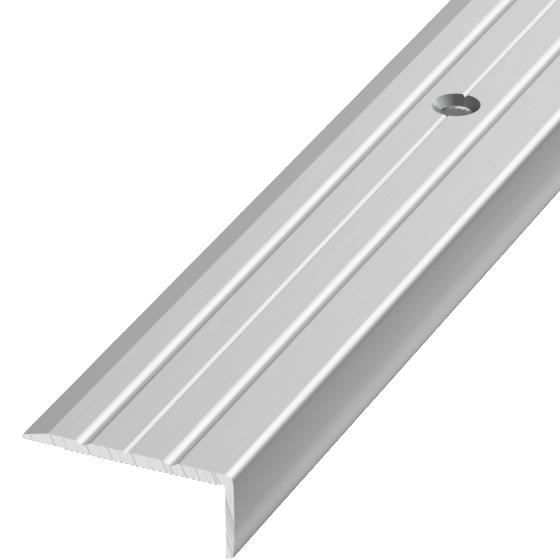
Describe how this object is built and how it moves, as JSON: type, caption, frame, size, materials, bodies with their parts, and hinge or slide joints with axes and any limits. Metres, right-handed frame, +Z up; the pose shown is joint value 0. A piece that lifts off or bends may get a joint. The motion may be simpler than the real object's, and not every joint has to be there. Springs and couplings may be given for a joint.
{
  "type": "step edge threshold strip",
  "caption": "L-shaped aluminium step-edge strip: thin bevelled back edge, grooved tread, rounded nosing, short front lip and countersunk screw holes.",
  "frame": {"origin": "underside of the tread, on the line of the screws, halfway along the strip", "axes": "+X along the strip, +Y towards the thin back edge, +Z up out of the tread; the lip hangs down at the front, on -Y"},
  "size_m": [1, 0.0354, 0.0146],
  "materials": {
    "anodised_aluminium": "satin silver anodised, with fine extrusion lines along the strip"
  },
  "bodies": {
    "root": {"edge_profile": "anodised_aluminium"}
  },
  "joints": []
}
